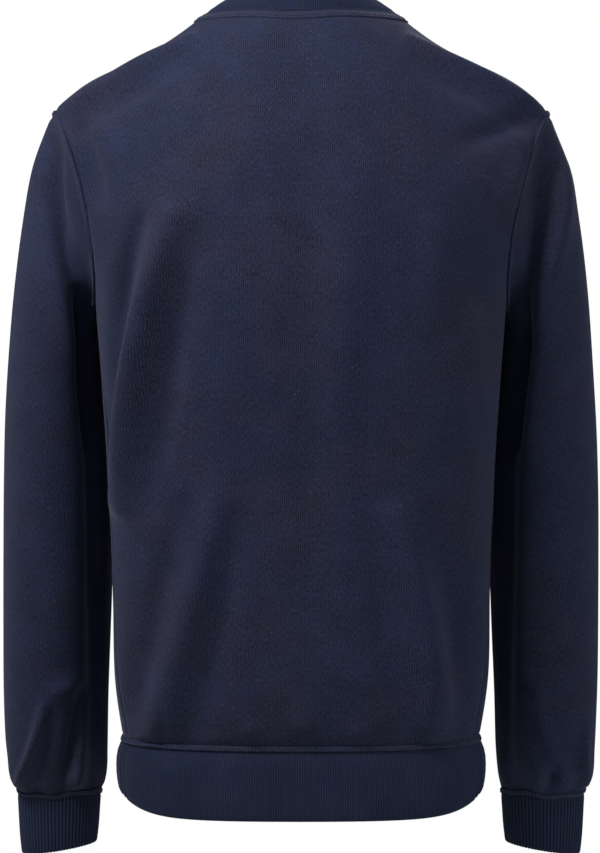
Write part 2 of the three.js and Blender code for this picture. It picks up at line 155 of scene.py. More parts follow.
# Soft folds on each side of a piece: a bent line across the cloth, drawn towards a place on its way, its width, and
# how far it stands out or, below zero, sinks in. The hidden sides have folds like those of the back.
Fold = namedtuple("Fold", "from_x from_z via_x via_z to_x to_z width height")
FOLDS = {
    "back": [
        (109, -187, 134, -290, 150, -417, 13, 21),
        (134, -190, 160, -290, 164, -400, 9, -9),
        (84, -200, 104, -300, 124, -420, 13, -6),
        (73, -424, 88, -520, 124, -612, 13, 11),
        (104, -430, 118, -510, 142, -596, 12, -5.5),
        (52, -430, 62, -520, 84, -600, 13, -5),
        (-77, -433, -104, -500, -114, -612, 13, 10),
        (-110, -430, -132, -520, -136, -600, 13, -6),
        (-54, -440, -72, -520, -84, -600, 13, -4),
        (-44, -90, -46, -220, -25, -340, 22, 3.6),
        (-106, -180, -112, -215, -114, -255, 16, 3.6),
        (50, -253, 54, -310, 58, -365, 17, 3),
        (-8, -140, -4, -320, -10, -540, 19, -4),
        (198, -98, 184, -124, 172, -162, 12, -13),
        (-207, -88, -168, -106, -136, -120, 12, -6),
        (-92, -29, -148, -60, -206, -83, 6.5, 9),
        (-98, -52, -150, -80, -198, -104, 9, -4),
        (208, -86, 150, -61, 92, -28, 6.5, 10),
        (196, -104, 150, -80, 98, -52, 9, -5),
        (-190, -124, -184, -147, -176, -175, 11, 5),
        (103, -572, 104, -594, 105, -614, 5, 3.4),
        (-103, -572, -102, -594, -104, -614, 6, 3.4),
        (50, -604, 42, -607, 34, -604, 8, 2.6),
        (8, -600, 0, -604, -8, -600, 8, 2.4),
        (-40, -607, -46, -609, -54, -606, 8, 2.6),
    ],
    "front": [
        (124, -205, 140, -300, 148, -420, 14, 9),
        (-118, -198, -138, -310, -148, -430, 14, 9),
        (60, -430, 88, -520, 116, -610, 17, 7),
        (-66, -420, -86, -520, -120, -608, 16, 8),
        (36, -150, 44, -260, 30, -380, 22, 3.4),
        (-10, -170, -14, -330, 4, -520, 20, -4),
        (200, -98, 168, -112, 138, -128, 12, -9),
        (-203, -98, -172, -116, -140, -126, 12, -9),
        (188, -128, 182, -150, 174, -178, 11, 5),
        (-100, -574, -102, -594, -104, -614, 5, 3.4),
        (96, -576, 98, -594, 99, -614, 6, 3.4),
    ],
    "sleeve_left back": [
        (212, -116, 220, -165, 190, -236, 11, -18),
        (205, -136, 204, -150, 200, -172, 9, 2.5),
        (186, -250, 180, -290, 173, -370, 8, -25),
        (176, -296, 169, -470, 175, -660, 10, -14),
        (208, -215, 198, -262, 187, -306, 11, 7),
        (222, -598, 228, -634, 244, -664, 5, 10),
        (217, -588, 206, -584, 195, -579, 9, 4),
        (188, -583, 198, -632, 206, -672, 6, -9),
        (202, -660, 198, -664, 192, -664, 9, 5),
    ],
    "sleeve_right back": [
        (-212, -108, -200, -170, -190, -246, 11, -14),
        (-187, -254, -181, -296, -174, -370, 9, -22),
        (-176, -300, -169, -470, -175, -660, 10, -13),
        (-228, -135, -219, -190, -198, -262, 11, 8),
        (-249, -620, -244, -646, -250, -668, 5, 5),
        (-220, -652, -217, -662, -215, -672, 6, -6),
        (-214, -586, -206, -583, -196, -588, 10, 4.5),
        (-204, -600, -214, -632, -228, -660, 8, 4.5),
    ],
    "sleeve_left front": [
        (226, -150, 214, -200, 196, -262, 11, -10),
        (236, -330, 214, -360, 190, -378, 13, -8),
        (240, -356, 218, -386, 192, -404, 12, 6),
        (212, -600, 216, -636, 206, -668, 7, -6),
    ],
    "sleeve_right front": [
        (-224, -146, -212, -200, -194, -266, 11, -10),
        (-238, -318, -212, -350, -188, -362, 13, -8),
        (-241, -346, -216, -378, -190, -392, 12, 6),
        (-206, -604, -216, -634, -210, -668, 7, -6),
    ],
}
FOLD_STEPS = 24
FOLD_FADE = 0.06

# How finely the cloth is divided, in millimetres or points
CLOTH_STEP = 3.2
RIB_POINTS = 4
EDGE_STEPS = (0.4, 1.0, 1.8)
SMOOTHING_PASSES = 70
NECK_POINTS = 33
SHOULDER_POINTS = 50
SIDE_COLUMN_WIDTH = 20.0
UPPER_ROWS = 86
SLEEVE_AROUND = 120

# How far the bands' lower edges rise, as shares of their depth, and how their ribs stand out and spread
HEM_CORNER_LIFT = 0.3
HEM_RELIEF = 0.25
CUFF_RELIEF = 0.9
CUFF_RIB_SPREAD = 1.75
CUFF_LIFT = {"outer": 0.05, "inner": 0.19}

# Along an edge the cloth rolls in, and beside a seam the stitches press it down
EDGE_ROLL = 0.8
EDGE_ROLL_REACH = 0.9
SEAM_DIP = 1.0
SEAM_DIP_PLACE = 3.6
SEAM_DIP_REACH = 1.6

WALE_PITCH = 0.00165


# ---------------------------------------------------------------- sizes and colours that a user would change

def metres(name, description, default):
    """A length that a user can change."""
    return bpy.props.FloatProperty(name=name, description=description, default=default, unit="LENGTH")


def tint(name, description, default):
    """A colour that a user can change."""
    return bpy.props.FloatVectorProperty(name=name, description=description, default=default, subtype="COLOR", size=3)


class SweatshirtCloth(bpy.types.PropertyGroup):
    """Cloth, ribbing and stitching."""
    thickness: metres("Cloth thickness", "Jersey wall thickness", 0.0025)
    fold_strength: bpy.props.FloatProperty(name="Fold strength", description="Scales every soft fold",
                                           default=1.0, subtype="FACTOR")
    rib_pitch: metres("Rib pitch", "Distance from rib to rib", 0.0019)
    rib_depth: metres("Rib depth", "Height of a rib over its groove", 0.0008)
    seam_width: metres("Seam width", "Width of a flat covered seam", 0.0046)
    neck_seam_width: metres("Neck seam width", "Width of the covered neck seam", 0.0105)
    seam_height: metres("Seam height", "How far a covered seam stands up", 0.0014)
    stitch_pitch: metres("Stitch pitch", "Distance from stitch to stitch", 0.0028)
    stitch_width: metres("Thread width", "Thickness of the sewing thread", 0.00055)


class SweatshirtColours(bpy.types.PropertyGroup):
    """Colours of the cloth and thread."""
    jersey: tint("Jersey", "Colour of body and sleeves", (0.0172, 0.0232, 0.0560))
    jersey_bloom: tint("Jersey bloom", "Warmer patches in the jersey", (0.0225, 0.0240, 0.0530))
    rib: tint("Ribbing", "Colour of neckband, hem band and cuffs", (0.0128, 0.0190, 0.0450))
    thread: tint("Thread", "Colour of the sewing thread", (0.030, 0.034, 0.070))


class SweatshirtStage(bpy.types.PropertyGroup):
    """Floor, lights and camera."""
    floor_drop: metres("Floor drop", "Floor below the neck points of a wearer", 1.45)
    camera_distance: metres("Camera distance", "From the camera to the shoulders", 2.2)
    view_height: metres("View height", "Height that the picture takes in", 0.7378)
    camera_drop: metres("Camera drop", "Camera below the neck points", 0.356)


# ---------------------------------------------------------------- the garment's surfaces

def table_at(names, rows, at):
    """Every column of a table at the given values of its first column, on a smooth curve through the rows."""
    data = np.array(rows, dtype=float)
    key = data[:, 0]
    at = np.asarray(at, dtype=float)
    last = len(rows) - 1
    i = np.clip(np.searchsorted(key, at, side="left") - 1, 0, last - 1)
    before, after = np.maximum(i - 1, 0), np.minimum(i + 2, last)
    span = key[i + 1] - key[i]
    t = (at - key[i]) / span
    sampled = {}
    for column, name in enumerate(names.split()):
        value = data[:, column]
        slope_a = (value[i + 1] - value[before]) / (key[i + 1] - key[before])
        slope_b = (value[after] - value[i]) / (key[after] - key[i])
        level = value[i] * (1 + 2 * t) * (1 - t) ** 2 + value[i + 1] * t * t * (3 - 2 * t)
        sampled[name] = level + span * (slope_a * t * (1 - t) ** 2 - slope_b * t * t * (1 - t))
    return sampled


def mix(a, b, share):
    return a + (b - a) * share


def signed_power(value, power):
    return np.sign(value) * np.abs(value) ** power


def ring_point(ring, angle):
    """Points of body rings at angles from the middle of the back."""
    towards = np.cos(np.radians(angle))
    depth = np.where(angle <= 90, ring["back"] - ring["side_y"], ring["front"] + ring["side_y"])
    x = ring["half_width"] * np.abs(np.sin(np.radians(angle))) ** ROUND_POWER
    y = ring["side_y"] + depth * signed_power(towards, ROUND_POWER)
    return np.stack(np.broadcast_arrays(x, y, ring["z"]), axis=-1)


def column_share(column):
    inner = NECK_SHARE * column / NECK_COLUMNS
    outer = mix(NECK_SHARE, 1, (column - NECK_COLUMNS) / SHOULDER_COLUMNS)
    return np.where(column <= NECK_COLUMNS, inner, outer)


def top_edge(side, column):
    """Half of a panel's top edge: the neck seam, then the shoulder seam."""
    angle = np.radians(90 * np.minimum(column / NECK_COLUMNS, 1))
    towards = np.maximum(np.cos(angle), 0)
    out = np.maximum((column - NECK_COLUMNS) / SHOULDER_COLUMNS, 0)
    shoulder_x = mix(NECK_HALF_WIDTH, SHOULDER_TIP[X], out)
    on_neck = column <= NECK_COLUMNS
    x = np.where(on_neck, NECK_HALF_WIDTH * np.sin(angle), shoulder_x)
    y = np.where(on_neck, mix(SHOULDER_TIP[Y], side.neck_y, towards ** side.fullness), SHOULDER_TIP[Y])
    shoulder_z = table_at(SHOULDER_NAMES, SHOULDER_ROWS, shoulder_x)["z"]
    z = np.where(on_neck, side.neck_z * towards, shoulder_z)
    return np.stack([x, y, z], axis=-1)


def armhole_edge(side, turn):
    """The armhole, where turn is 180 at the underarm and 0 at the shoulder tip."""
    rise = (1 + math.cos(math.radians(turn))) / 2
    bow = math.sin(math.radians(turn))
    return (
        mix(UNDERARM[X], SHOULDER_TIP[X], rise) - side.scoop * bow * bow,
        mix(UNDERARM[Y], SHOULDER_TIP[Y], rise) + side.facing * side.reach * bow,
        mix(UNDERARM[Z], SHOULDER_TIP[Z], rise),
    )


def upper_row(side, turn, column):
    """Half a row above the underarm: the chest ring narrows to the armhole and rounds over to the top edge."""
    rise = (1 + math.cos(math.radians(turn))) / 2
    top = top_edge(side, column)
    if rise > 0.9999:
        return top
    edge = armhole_edge(side, turn)
    chest = dict(zip(BODY_NAMES.split(), BODY_ROWS[-1]))
    middle_y = chest["back"] if side.facing > 0 else -chest["front"]
    settle = np.clip(column / NECK_COLUMNS, 0, 1)

    def round_over(share):
        return (1 - rise ** mix(2, 2.2, share)) ** (1 / mix(1.3, 1.7, share))

    edge_y = SHOULDER_TIP[Y] + (edge[1] - SHOULDER_TIP[Y]) / round_over(1)
    edge_share = min(max((edge_y - chest["side_y"]) / (middle_y - chest["side_y"]), 0), FULLEST_EDGE)
    edge_angle = math.acos(edge_share ** (1 / ROUND_POWER))
    angle = edge_angle * column_share(column)
    ring_x = edge[0] * (np.sin(angle) / math.sin(edge_angle)) ** ROUND_POWER
    ring_y = mix(chest["side_y"], middle_y, np.cos(angle) ** ROUND_POWER)
    x = mix(ring_x, top[:, 0] * edge[0] / SHOULDER_TIP[X], rise ** 12)
    y = mix(top[:, 1], ring_y, round_over(settle))
    z = mix(UNDERARM[Z], top[:, 2], rise)
    y[-1] = edge[1]
    return np.stack([x, y, z], axis=-1)


def panel_columns():
    """Places across half a panel, with a few extra near its side so that the edge can roll in."""
    neck = np.linspace(0, NECK_COLUMNS, NECK_POINTS)
    shoulder = np.linspace(NECK_COLUMNS, COLUMNS, SHOULDER_POINTS)[1:]
    edge = COLUMNS - np.array(EDGE_STEPS) / SIDE_COLUMN_WIDTH
    return np.unique(np.concatenate([neck, shoulder, edge]))


def whole_row(half):
    mirrored = half[1:] * np.array([-1, 1, 1])
    return np.concatenate([mirrored[::-1], half])


def smooth_inside(grid, passes):
    """Evens out a grid of points without moving its edges."""
    for _ in range(passes):
        middle = (grid[:-2, 1:-1] + grid[2:, 1:-1] + grid[1:-1, :-2] + grid[1:-1, 2:]) / 4
        grid[1:-1, 1:-1] = mix(grid[1:-1, 1:-1], middle, 0.5)
    return grid


def panel_grid(side):
    """A body panel as rows of points from the hem seam to the neck and shoulders."""
    column = panel_columns()
    edge = np.array(EDGE_STEPS)
    z_rows = np.concatenate([
        [HEM_SEAM_Z], HEM_SEAM_Z + edge,
        np.arange(HEM_SEAM_Z + edge[-1] + CLOTH_STEP, UNDERARM[Z] - 1, CLOTH_STEP),
    ])
    rows = []
    for z in z_rows:
        ring = table_at(BODY_NAMES, BODY_ROWS, z)
        share = column_share(column)
        seam = ring["seam_angle"]
        angle = share * seam if side.facing > 0 else 180 - share * (180 - seam)
        rows.append(ring_point(ring, angle))
    rows += [upper_row(side, turn, column) for turn in np.linspace(180, 0, UPPER_ROWS)]
    grid = np.array([whole_row(row) for row in rows])
    return smooth_inside(grid, SMOOTHING_PASSES)


def body_half_width(y, z):
    """Half the body's width at a depth and height, so that a sleeve lies just clear of it."""
    ring = table_at(BODY_NAMES, BODY_ROWS, np.clip(z, HEM_SEAM_Z, UNDERARM[Z]))
    depth = np.where(y > ring["side_y"], ring["back"] - ring["side_y"], ring["front"] + ring["side_y"])
    reach = np.minimum(np.abs(y - ring["side_y"]) / depth, 1)
    width = ring["half_width"] * (1 - reach ** SQUARENESS) ** (1 / SQUARENESS)
    return np.where((z > UNDERARM[Z]) | (z < HEM_SEAM_Z), 0, width)


def sleeve_ring(along, turn):
    """Points round the left sleeve, from the underarm up the back to the shoulder tip and down the front."""
    ring = table_at(SLEEVE_NAMES, SLEEVE_ROWS, along)
    outer = np.array([ring["outer_x"], ring["outer_y"], ring["outer_z"]])
    inner = np.array([ring["inner_x"], ring["inner_y"], ring["inner_z"]])
    fade = max(1 - along / SCOOP_ENDS, 0)
    bow = np.sin(np.radians(turn))
    rise = (1 + np.cos(np.radians(turn))) / 2
    points = mix(inner, outer, rise[:, None])
    reach = np.where(bow >= 0, ring["back"], ring["front"])
    scoop = np.where(bow >= 0, BACK.scoop, FRONT.scoop)
    points[:, 0] -= scoop * fade * bow * bow
    points[:, 1] += reach * bow
    clearance = SLEEVE_CLEARANCE * min(along / SCOOP_ENDS, 1)
    points[:, 0] = np.maximum(points[:, 0], body_half_width(points[:, 1], points[:, 2]) + clearance)
    points[:, 2] += cuff_seam_wave(turn) * max(1 - (SLEEVE_LENGTH - along) / 60, 0)
    return points


def cuff_seam_wave(turn):
    """How unevenly the cuff seam runs up and down."""
    angle = np.radians(turn)
    return 1.1 * np.sin(3 * angle + 1) + 0.8 * np.sin(7 * angle)


def sleeve_grid(sense):
    """A sleeve as rings of points from the armhole to the cuff seam."""
    turn = 180 - 360 * np.arange(SLEEVE_AROUND) / SLEEVE_AROUND
    edge = np.array(EDGE_STEPS)
    along = np.concatenate([
        [0], edge, np.arange(edge[-1] + CLOTH_STEP, SLEEVE_LENGTH - 4, CLOTH_STEP), SLEEVE_LENGTH - edge[::-1],
        [SLEEVE_LENGTH],
    ])
    grid = np.array([sleeve_ring(value, turn) for value in along])
    grid[:, :, 0] *= sense
    return grid, along, turn


def neck_ring(count):
    """The neck seam, once round from its left point over the back."""
    quarter = np.linspace(0, NECK_COLUMNS, count // 4, endpoint=False)
    back_left, front_right = top_edge(BACK, NECK_COLUMNS - quarter), top_edge(FRONT, NECK_COLUMNS - quarter)
    back_right, front_left = top_edge(BACK, quarter), top_edge(FRONT, quarter)
    turn_over = np.array([-1, 1, 1])
    return np.concatenate([back_left, back_right * turn_over, front_right * turn_over, front_left])


# ---------------------------------------------------------------- folds, normals, walls and meshes

def fold_height(on, x, z):
    """How far the folds of one side of a piece move the cloth out, at places across and up."""
    total = np.zeros_like(x)
    for fold in (Fold(*row) for row in FOLDS[on]):
        t = np.linspace(0, 1, FOLD_STEPS + 1)
        line_x = mix(mix(fold.from_x, fold.via_x, t), mix(fold.via_x, fold.to_x, t), t)
        line_z = mix(mix(fold.from_z, fold.via_z, t), mix(fold.via_z, fold.to_z, t), t)
        nearest = np.full(x.shape, 1e9)
        share = np.zeros_like(x)
        for k in range(FOLD_STEPS):
            step_x, step_z = line_x[k + 1] - line_x[k], line_z[k + 1] - line_z[k]
            along = ((x - line_x[k]) * step_x + (z - line_z[k]) * step_z) / (step_x ** 2 + step_z ** 2)
            along = np.clip(along, 0, 1)
            away = np.hypot(x - line_x[k] - along * step_x, z - line_z[k] - along * step_z)
            closer = away < nearest
            nearest = np.where(closer, away, nearest)
            share = np.where(closer, (k + along) / FOLD_STEPS, share)
        fade = np.sqrt(np.sin(np.pi * mix(FOLD_FADE, 1 - FOLD_FADE, share)))
        total += fold.height * fade * np.exp(-(nearest / fold.width) ** 2)
    return total


def soft_unevenness(x, z, seed):
    """Slow, shallow unevenness of worn cloth, from a few waves in fixed directions."""
    random = np.random.default_rng(seed)
    total = np.zeros_like(x)
    for _ in range(14):
        length, heading, start = random.uniform(45, 150), random.uniform(-0.5, 0.5), random.uniform(0, 6.28)
        total += np.sin((x * math.cos(heading) + z * math.sin(heading) * 0.6) * 2 * np.pi / length + start)
    return total * 0.16


def grid_normals(grid, closed):
    """Unit normals of a grid of points, before they are turned outwards."""
    if closed:
        across = np.roll(grid, -1, axis=1) - np.roll(grid, 1, axis=1)
    else:
        across = np.gradient(grid, axis=1)
    up = np.gradient(grid, axis=0)
    normal = np.cross(across, up)
    return normal / np.maximum(np.linalg.norm(normal, axis=2, keepdims=True), 1e-9)


def turn_outwards(normal, grid, middle):
    """Flips the normals together so that on the whole they point away from a place inside the garment."""
    away = grid - np.asarray(middle, dtype=float)
    sense = np.sign((normal * away).sum())
    return normal * sense, sense


def arc_lengths(grid, closed):
    """Distance across each row and up each column, in millimetres, as the cloth's own flat coordinates."""
    step = np.linalg.norm(np.diff(grid, axis=1), axis=2)
    across = np.concatenate([np.zeros((len(grid), 1)), np.cumsum(step, axis=1)], axis=1)
    if not closed:
        across -= across[:, across.shape[1] // 2][:, None]
    rise = np.linalg.norm(np.diff(grid, axis=0), axis=2).mean(axis=1)
    up = np.concatenate([[0], np.cumsum(rise)])
    return across, np.repeat(up[:, None], grid.shape[1], axis=1)


def at_corners(mesh, values):
    """Values given for each point, handed out to the corners of the faces."""
    points = np.zeros(len(mesh.loops), dtype=np.int32)
    mesh.loops.foreach_get("vertex_index", points)
    return values[points]


def smooth_shaded(mesh):
    mesh.polygons.foreach_set("use_smooth", np.ones(len(mesh.polygons), dtype=bool))
    mesh.update()


def set_grain(mesh, coordinates):
    """Gives a mesh the cloth's flat coordinates as its UV map, and smooth shading."""
    mesh.uv_layers.new(name="grain").data.foreach_set("uv", coordinates.ravel())
    smooth_shaded(mesh)


def wall_mesh(name, outer, inner, closed, sense, flat_x, flat_y):
    """A closed wall between an outer and an inner grid, with the cloth's flat coordinates as its UV map."""
    rows, columns = outer.shape[:2]
    count = rows * columns
    index = np.arange(count).reshape(rows, columns)
    if closed:
        left, right = index, np.roll(index, -1, axis=1)
    else:
        left, right = index[:, :-1], index[:, 1:]
    quads = np.stack([left[:-1], right[:-1], right[1:], left[1:]], axis=-1).reshape(-1, 4)
    inner_quads = quads[:, ::-1] + count
    ends = []
    for a, b in ((left[0], right[0]), (right[-1], left[-1])):
        ends.append(np.stack([b, a, a + count, b + count], axis=-1))
    if not closed:
        for edge in (index[:, 0], index[::-1, -1]):
            a, b = edge[:-1], edge[1:]
            ends.append(np.stack([a, b, b + count, a + count], axis=-1))
    faces = np.concatenate([quads, inner_quads] + ends)
    if sense < 0:
        faces = faces[:, ::-1]
    points = np.concatenate([outer.reshape(-1, 3), inner.reshape(-1, 3)]) * MM
    mesh = bpy.data.meshes.new(name)
    mesh.from_pydata(points.tolist(), [], faces.tolist())
    u = np.concatenate([flat_x.ravel(), flat_x.ravel()]) * MM
    v = np.concatenate([flat_y.ravel(), flat_y.ravel()]) * MM
    coordinates = at_corners(mesh, np.stack([u, v], axis=-1))
    if closed:
        girth = (flat_x[:, -1].mean() * (1 + 1 / columns)) * MM
        per_face = coordinates.reshape(-1, 4, 2)
        wraps = per_face[:, :, 0].max(axis=1) - per_face[:, :, 0].min(axis=1) > girth / 2
        low = per_face[:, :, 0] < girth / 2
        per_face[:, :, 0] += np.where(wraps[:, None] & low, girth, 0)
    set_grain(mesh, coordinates)
    return mesh


def cloth_piece(name, node, grid, closed, middle, slot, move_out, texture=0, free_edge=False, grain_x=None):
    """Makes a wall from an outer surface: folds move it out, its edges roll in, and it gets its thickness.

    texture is a finer relief, such as ribs, that only the outer face has. A free edge is a last row with no seam.
    grain_x takes the place of the distance across as the first grain coordinate.
    """
    thickness = bpy.context.scene.sweatshirt_cloth.thickness / MM
    normal, _ = turn_outwards(grid_normals(grid, closed), grid, middle)
    flat_x, flat_y = arc_lengths(grid, closed)
    grid = grid + normal * move_out[:, :, None]
    normal, sense = turn_outwards(grid_normals(grid, closed), grid, middle)
    inner = grid - normal * thickness
    seam_distance = flat_y - flat_y[0]
    if not closed:
        side_distance = np.minimum(flat_x - flat_x[:, :1], flat_x[:, -1:] - flat_x)
        seam_distance = np.minimum(seam_distance, side_distance)
    edge_distance = np.minimum(seam_distance, flat_y[-1] - flat_y)
    if not free_edge:
        seam_distance = edge_distance
    roll = EDGE_ROLL * np.exp(-edge_distance / EDGE_ROLL_REACH)
    dip = SEAM_DIP * np.exp(-((seam_distance - SEAM_DIP_PLACE) / SEAM_DIP_REACH) ** 2)
    grid = grid + normal * (texture - roll - dip)[:, :, None]
    mesh = wall_mesh(name, grid, inner, closed, sense, flat_x if grain_x is None else grain_x, flat_y)
    return finish_piece(name, mesh, node, CLOTH[slot])


def finish_piece(name, mesh, node, look):
    """Makes a mesh a piece of the garment, in the place of a CAD node if one is given."""
    piece = bpy.data.objects.new(name, mesh)
    bpy.context.scene.collection.objects.link(piece)
    mesh.materials.clear()
    mesh.materials.append(material(look))
    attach(piece, "root")
    if node:
        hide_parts(node)
    return piece


# ---------------------------------------------------------------- materials

class Field:
    """A shader socket that takes part in sums written as expressions."""

    def __init__(self, shader, socket):
        self.shader, self.socket = shader, socket

    def _math(self, operation, a, b=None):
        values = {0: a} if b is None else {0: a, 1: b}
        return self.shader.add("ShaderNodeMath", {"operation": operation}, values)

    def __add__(self, other):
        return self._math("ADD", self, other)

    def __sub__(self, other):
        return self._math("SUBTRACT", self, other)

    def __rsub__(self, other):
        return self._math("SUBTRACT", other, self)

    def __mul__(self, other):
        return self._math("MULTIPLY", self, other)

    __radd__ = __add__
    __rmul__ = __mul__

    def sine(self):
        return self._math("SINE", self)

    def clamped(self, low, high):
        settings = {"interpolation_type": "SMOOTHSTEP"}
        return self.shader.add("ShaderNodeMapRange", settings, {"Value": self, "From Min": low, "From Max": high})


class Shader:
    """Builds one material's node tree."""

    def __init__(self, name):
        self.material = bpy.data.materials.new(name)
        self.material.use_nodes = True
        self.tree = self.material.node_tree
        self.principled = self.tree.nodes["Principled BSDF"]

    def add(self, kind, settings=None, values=None, output=0):
        node = self.tree.nodes.new(kind)
        for key, value in (settings or {}).items():
            setattr(node, key, value)
        for key, value in (values or {}).items():
            self.feed(node.inputs[key], value)
        return Field(self, node.outputs[output])

    def feed(self, socket, value):
        if isinstance(value, Field):
            self.tree.links.new(value.socket, socket)
        else:
            socket.default_value = value

    def split(self, vector):
        node = self.tree.nodes.new("ShaderNodeSeparateXYZ")
        self.tree.links.new(vector.socket, node.inputs[0])
        return [Field(self, output) for output in node.outputs]

    def blend(self, a, b, share):
        node = self.tree.nodes.new("ShaderNodeMix")
        node.data_type = "RGBA"
        self.feed(node.inputs[0], share)
        self.feed(node.inputs[6], a)
        self.feed(node.inputs[7], b)
        return Field(self, node.outputs[2])

    def noise(self, vector, scale, detail=2.0, roughness=0.5):
        values = {"Vector": vector, "Scale": scale, "Detail": detail, "Roughness": roughness}
        return self.add("ShaderNodeTexNoise", {}, values)

    def set(self, **values):
        for key, value in values.items():
            self.feed(self.principled.inputs[key.replace("_", " ")], value)


def rgba(colour, factor=1.0):
    return (colour[0] * factor, colour[1] * factor, colour[2] * factor, 1.0)


def jersey_material():
    """Brushed jersey: fine upright wales as bumps and as painted shade between them, a slow mottle, and tiny pale
    specks of lint.
    """
    colours = bpy.context.scene.sweatshirt_colours
    shader = Shader("brushed jersey")
    grain = shader.add("ShaderNodeUVMap", {"uv_map": "grain"})
    u, v, _ = shader.split(grain)
    place = shader.add("ShaderNodeTexCoord", {}, {}, output=3)
    stretched = shader.add("ShaderNodeCombineXYZ", {}, {"X": u * 1150.0, "Y": v * 330.0})
    flecks = shader.noise(stretched, 1.0, 2.0, 0.6)
    wander = shader.noise(place, 60.0, 1.0, 0.5)
    wales = (u * (2 * math.pi / WALE_PITCH) + wander * 6.0).sine() * 0.5 + 0.5
    mottle = shader.noise(place, 11.0, 3.0, 0.55)
    patches = shader.noise(place, 38.0, 3.0, 0.6)
    lint = shader.noise(place, 700.0, 0.0, 0.5).clamped(0.80, 0.84)
    tone = shader.blend(rgba(colours.jersey), rgba(colours.jersey_bloom), mottle.clamped(0.40, 0.64))
    # the wales term darkens the colour between the wales: painted shade of the knit's ridges; patches and flecks are
    # the yarn's own uneven tone
    shade = patches * 0.7 + flecks * 2.5 + wales * 0.45 - 0.88
    coloured = shader.add("ShaderNodeVectorMath", {"operation": "SCALE"}, {0: tone, "Scale": shade})
    specked = shader.blend(coloured, (0.10, 0.105, 0.13, 1), lint * 0.5)
    height = wales * 0.6 + flecks * 1.1
    normal = shader.add("ShaderNodeBump", {}, {"Strength": 0.5, "Distance": 0.0006, "Height": height})
    shader.set(Base_Color=specked, Roughness=patches * 0.08 + 0.84, Normal=normal)
    shader.set(Sheen_Weight=0.16, Sheen_Roughness=0.45, Sheen_Tint=(0.50, 0.52, 0.70, 1), Specular_IOR_Level=0.16)
    return shader.material


def rib_material():
    """Fine rib: painted shade darkens the grooves, with the same soft mottle."""
    colours = bpy.context.scene.sweatshirt_colours
    shader = Shader("rib knit")
    grain = shader.add("ShaderNodeUVMap", {"uv_map": "grain"})
    u, v, _ = shader.split(grain)
    place = shader.add("ShaderNodeTexCoord", {}, {}, output=3)
    pitch = bpy.context.scene.sweatshirt_cloth.rib_pitch
    ribs = (u * (2 * math.pi / pitch) + math.pi / 2).sine() * 0.5 + 0.5
    courses = (v * (2 * math.pi / 0.0014)).sine() * 0.5 + 0.5
    fine = shader.add("ShaderNodeCombineXYZ", {}, {"X": u * 900.0, "Y": v * 700.0})
    fuzz = shader.noise(fine, 1.0, 2.0, 0.6)
    mottle = shader.noise(place, 26.0, 3.0, 0.55)
    # the ribs term darkens the colour in the rib grooves: painted shade; mottle and fuzz are the yarn's own uneven
    # tone
    shade = ribs * 0.9 + mottle * 0.7 + fuzz * 1.1 - 0.32
    tone = shader.blend(rgba(colours.rib), rgba(colours.jersey_bloom, 0.85), mottle.clamped(0.45, 0.8) * 0.5)
    coloured = shader.add("ShaderNodeVectorMath", {"operation": "SCALE"}, {0: tone, "Scale": shade})
    height = courses * 0.3 + fuzz * 0.8
    normal = shader.add("ShaderNodeBump", {}, {"Strength": 0.4, "Distance": 0.0005, "Height": height})
    shader.set(Base_Color=coloured, Roughness=mottle * 0.06 + 0.86, Normal=normal)
    shader.set(Sheen_Weight=0.14, Sheen_Roughness=0.45, Sheen_Tint=(0.50, 0.52, 0.75, 1), Specular_IOR_Level=0.15)
    return shader.material


def thread_material():
    """Twisted polyester sewing thread, slightly brighter than the cloth."""
    colours = bpy.context.scene.sweatshirt_colours
    shader = Shader("sewing thread")
    place = shader.add("ShaderNodeTexCoord", {}, {}, output=3)
    twist = shader.noise(place, 900.0, 2.0, 0.5)
    dark, light = rgba(colours.thread, 0.7), rgba(colours.thread, 1.35)
    normal = shader.add("ShaderNodeBump", {}, {"Strength": 0.3, "Distance": 0.0002, "Height": twist})
    shader.set(Base_Color=shader.blend(dark, light, twist.clamped(0.35, 0.65)), Roughness=twist * 0.1 + 0.5)
    shader.set(Normal=normal)
    shader.set(Sheen_Weight=0.15)
    return shader.material


MAKERS = {"brushed jersey": jersey_material, "rib knit": rib_material, "sewing thread": thread_material}
CLOTH = {"jersey": "brushed jersey", "rib": "rib knit"}


def material(name):
    return bpy.data.materials.get(name) or MAKERS[name]()


# ---------------------------------------------------------------- what builds the pieces


class SWEATSHIRT_OT_body(bpy.types.Operator):
    """Back and front body panels"""
    bl_idname = "sweatshirt.body"
    bl_label = "Body panels"

    def execute(self, context):
        strength = context.scene.sweatshirt_cloth.fold_strength
        for side, seed, flat, area in ((BACK, 3, (0.48, 0.66), 0.26), (FRONT, 8, (0.60, 0.62), 0.30)):
            grid = panel_grid(side)
            x, z = grid[:, :, 0], grid[:, :, 2]
            rows, columns = x.shape
            across = np.abs(np.linspace(-1, 1, columns))[None, :]
            up = np.linspace(0, 1, rows)[:, None]
            inside = (1 - across ** 14) * (1 - (2 * up - 1) ** 30)
            height = fold_height(side.name, x, z) * strength + soft_unevenness(x, z, seed)
            piece = cloth_piece(
                side.name + "_body", side.name + "_panel", grid, False, (0, 0, -300), "jersey", height * inside)
        return {"FINISHED"}


